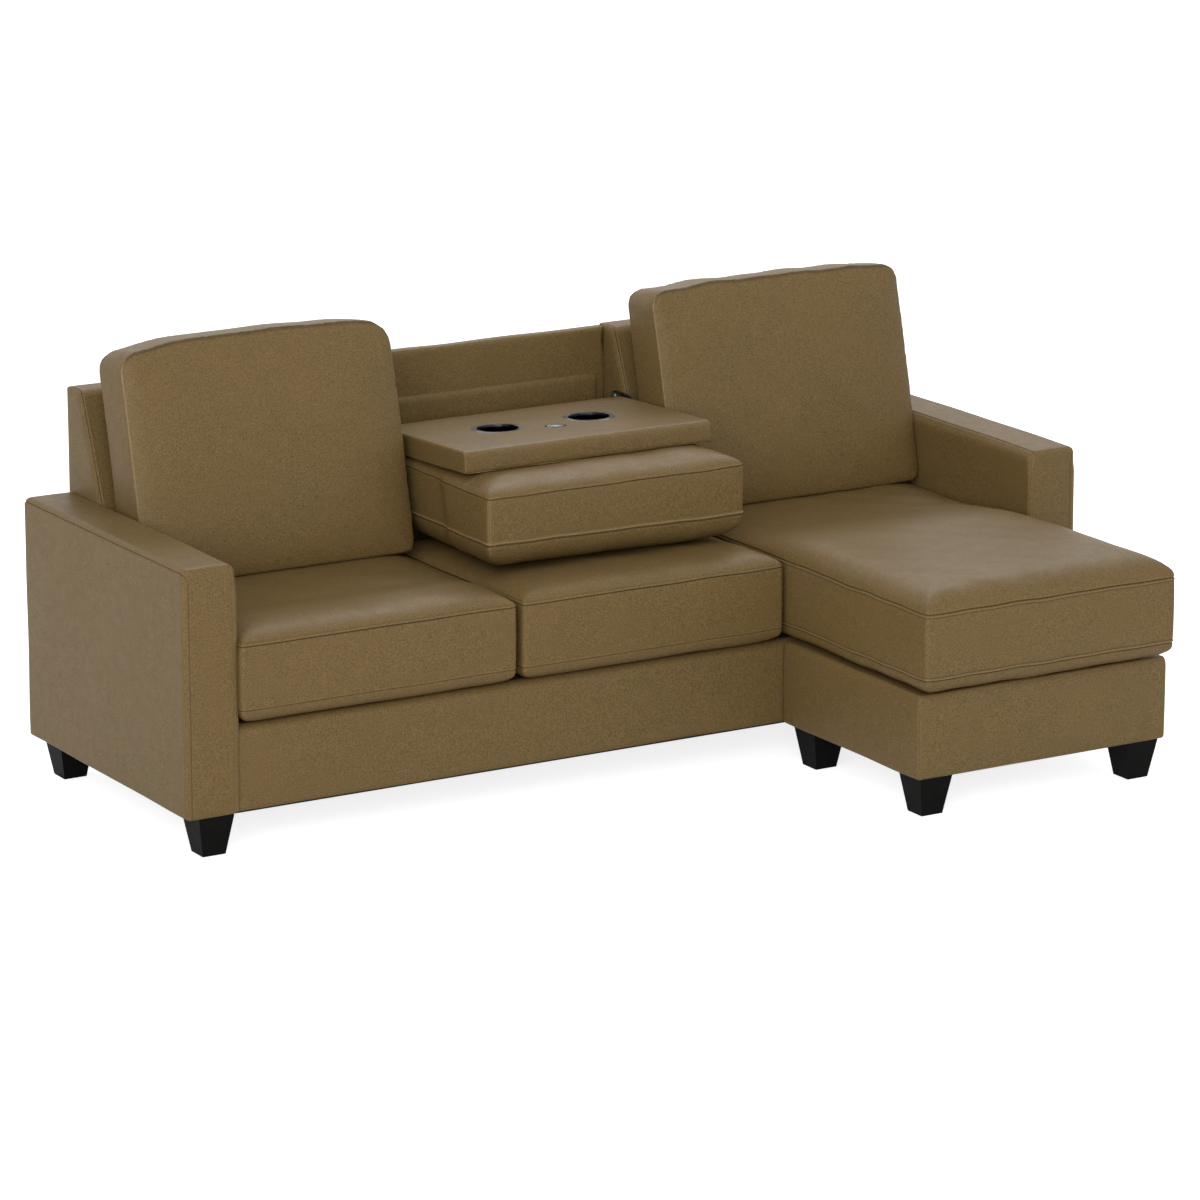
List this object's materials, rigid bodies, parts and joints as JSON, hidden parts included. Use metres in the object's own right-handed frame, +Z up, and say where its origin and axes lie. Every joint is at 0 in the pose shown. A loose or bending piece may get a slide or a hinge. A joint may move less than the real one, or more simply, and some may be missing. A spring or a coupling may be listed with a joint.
{
  "type": "sofa with chaise",
  "caption": "Leather-look three-seat sofa with box arms, a chaise cushion on a loose ottoman, and a middle back cushion that folds down into a console with cup holders.",
  "frame": {"origin": "on the floor under the centre of the whole object's box", "axes": "+X along the sofa to the chaise's side, +Y to the back, +Z up"},
  "size_m": [2.15, 1.28, 0.9248],
  "materials": {
    "leather": "satin",
    "frame_wood": "matte",
    "lining": "matte",
    "foam": "matte",
    "leg_black": "satin",
    "glide": "matte",
    "black_steel": "satin",
    "zinc_steel": "satin",
    "cup_steel": "satin",
    "disc_metal": "polished"
  },
  "bodies": {
    "sofa": {"arm_cover_left": "leather", "arm_cover_right": "leather", "arm_frame_left": "frame_wood", "arm_frame_right": "frame_wood", "arm_bolts": "zinc_steel", "seat_frame": "frame_wood", "front_rail_cover": "leather", "seat_springs": "zinc_steel", "spring_clips": "zinc_steel", "seat_deck": "lining", "dust_cover": "lining", "back_frame": "frame_wood", "back_cover_left": "leather", "back_cover_right": "leather", "recess_panel_cover": "leather", "recess_ledge": "leather", "outside_back_cover": "leather", "front_leg_left": "leg_black", "front_leg_right": "leg_black", "rear_leg_left": "leg_black", "rear_leg_right": "leg_black", "leg_bolts": "zinc_steel", "leg_glides": "glide", "hinge_arm_left": "black_steel", "hinge_arm_right": "black_steel", "hinge_arm_bolts": "zinc_steel", "hinge_pins": "zinc_steel"},
    "console": {"console_cushion_cover": "leather", "console_foam": "foam", "console_frame": "frame_wood", "console_tray_cover": "leather", "console_tray_box": "frame_wood", "cup_holder_left": "cup_steel", "cup_holder_right": "cup_steel", "console_disc": "disc_metal", "hinge_plate_left": "black_steel", "hinge_plate_right": "black_steel", "console_screws": "zinc_steel"},
    "ottoman": {"ottoman_cover": "leather", "ottoman_frame": "frame_wood", "ottoman_springs": "zinc_steel", "ottoman_clips": "zinc_steel", "ottoman_dust_cover": "lining", "ottoman_leg_front_left": "leg_black", "ottoman_leg_front_right": "leg_black", "ottoman_leg_rear_left": "leg_black", "ottoman_leg_rear_right": "leg_black", "ottoman_leg_bolts": "zinc_steel", "ottoman_glides": "glide"},
    "seat_left": {"seat_cover_left": "leather", "seat_foam_left": "foam"},
    "seat_centre": {"seat_cover_centre": "leather", "seat_foam_centre": "foam"},
    "chaise": {"chaise_cover": "leather", "chaise_foam": "foam"},
    "back_left": {"back_cover_loose_left": "leather", "back_fill_left": "foam"},
    "back_right": {"back_cover_loose_right": "leather", "back_fill_right": "foam"}
  },
  "joints": [
    {"name": "console_fold", "type": "hinge", "parent": "sofa", "child": "console", "pos_m": [0, 0.395, 0.5318], "axis": [-1, 0, 0], "range_deg": [0, 100]},
    {"name": "ottoman_pull", "type": "slide", "parent": "sofa", "child": "ottoman", "axis": [0, -1, 0], "range_m": [0, 0.8]},
    {"name": "seat_left_pull", "type": "slide", "parent": "sofa", "child": "seat_left", "axis": [0, -1, 0], "range_m": [0, 0.5]},
    {"name": "seat_centre_pull", "type": "slide", "parent": "sofa", "child": "seat_centre", "axis": [0, -1, 0], "range_m": [0, 0.5]},
    {"name": "chaise_pull", "type": "slide", "parent": "sofa", "child": "chaise", "axis": [0, -1, 0], "range_m": [0, 0.6]},
    {"name": "back_left_lift", "type": "slide", "parent": "sofa", "child": "back_left", "axis": [0, 0, 1], "range_m": [0, 0.45]},
    {"name": "back_right_lift", "type": "slide", "parent": "sofa", "child": "back_right", "axis": [0, 0, 1], "range_m": [0, 0.45]}
  ]
}
